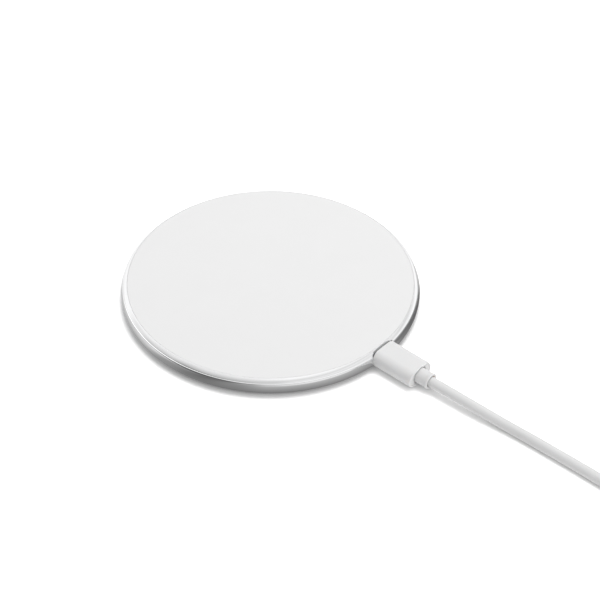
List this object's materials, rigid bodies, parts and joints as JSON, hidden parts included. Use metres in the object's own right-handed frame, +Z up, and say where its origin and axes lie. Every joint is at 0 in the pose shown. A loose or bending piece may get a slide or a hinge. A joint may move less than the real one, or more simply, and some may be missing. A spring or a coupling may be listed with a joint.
{
  "type": "wireless charging pad",
  "caption": "Slim round wireless charging pad with a flush top plate, polished metal rim, internal coil and board, and a detachable USB cable stored in a tied coil.",
  "frame": {"origin": "centre of the pad's round base, on the surface it stands on", "axes": "+Z up, normal to the charging face; +X from the pad's centre out through the cable port, along which the plug is pulled out"},
  "size_m": [0.2468, 0.1213, 0.009],
  "materials": {
    "plate_white": "matte",
    "polished_metal": "polished",
    "frame_plastic": "matte",
    "cover_plastic": "matte",
    "silicone": "matte",
    "tape": "matte",
    "steel": "satin",
    "black_steel": "satin",
    "litz_copper": "satin",
    "adhesive": "satin",
    "ferrite": "matte",
    "board_green": "satin",
    "black_plastic": "matte",
    "gold_contact": "satin",
    "chip_black": "satin",
    "capacitor_ceramic": "satin",
    "inductor_ferrite": "matte",
    "wire_insulation": "satin",
    "thermal_silicone": "matte",
    "overmould_white": "satin",
    "cord_white": "satin",
    "strap_fabric": "matte",
    "white_plastic": "satin"
  },
  "bodies": {
    "pad": {"top_plate": "plate_white", "plate_adhesive_ring": "tape", "rim_ring": "polished_metal", "mid_frame": "frame_plastic", "bottom_cover": "cover_plastic", "anti_slip_ring": "silicone", "cover_screws": "black_steel", "charging_coil": "litz_copper", "coil_leads": "litz_copper", "coil_adhesive_pad": "adhesive", "ferrite_sheet": "ferrite", "circuit_board": "board_green", "board_screws": "steel", "receptacle_shell": "steel", "receptacle_tongue": "black_plastic", "receptacle_contacts": "gold_contact", "controller_chip": "chip_black", "power_stage_chip": "chip_black", "resonant_capacitors": "capacitor_ceramic", "input_capacitors": "capacitor_ceramic", "chip_resistors": "chip_black", "power_inductor": "inductor_ferrite", "temperature_sensor": "chip_black", "sensor_wires": "wire_insulation", "thermal_pad": "thermal_silicone"},
    "usb_cable": {"plug_shell": "steel", "plug_insulator": "black_plastic", "plug_contacts": "gold_contact", "plug_board": "board_green", "plug_overmould": "overmould_white", "plug_strain_relief": "overmould_white", "cable_run": "cord_white", "cable_coil": "cord_white", "cable_tail": "cord_white", "cable_tie": "strap_fabric", "usb_a_shell": "steel", "usb_a_insulator": "white_plastic", "usb_a_contacts": "gold_contact", "usb_a_overmould": "overmould_white", "usb_a_strain_relief": "overmould_white"}
  },
  "joints": [
    {"name": "plug_pull", "type": "slide", "parent": "pad", "child": "usb_cable", "axis": [1, 0, 0], "range_m": [0, 0.012]}
  ]
}
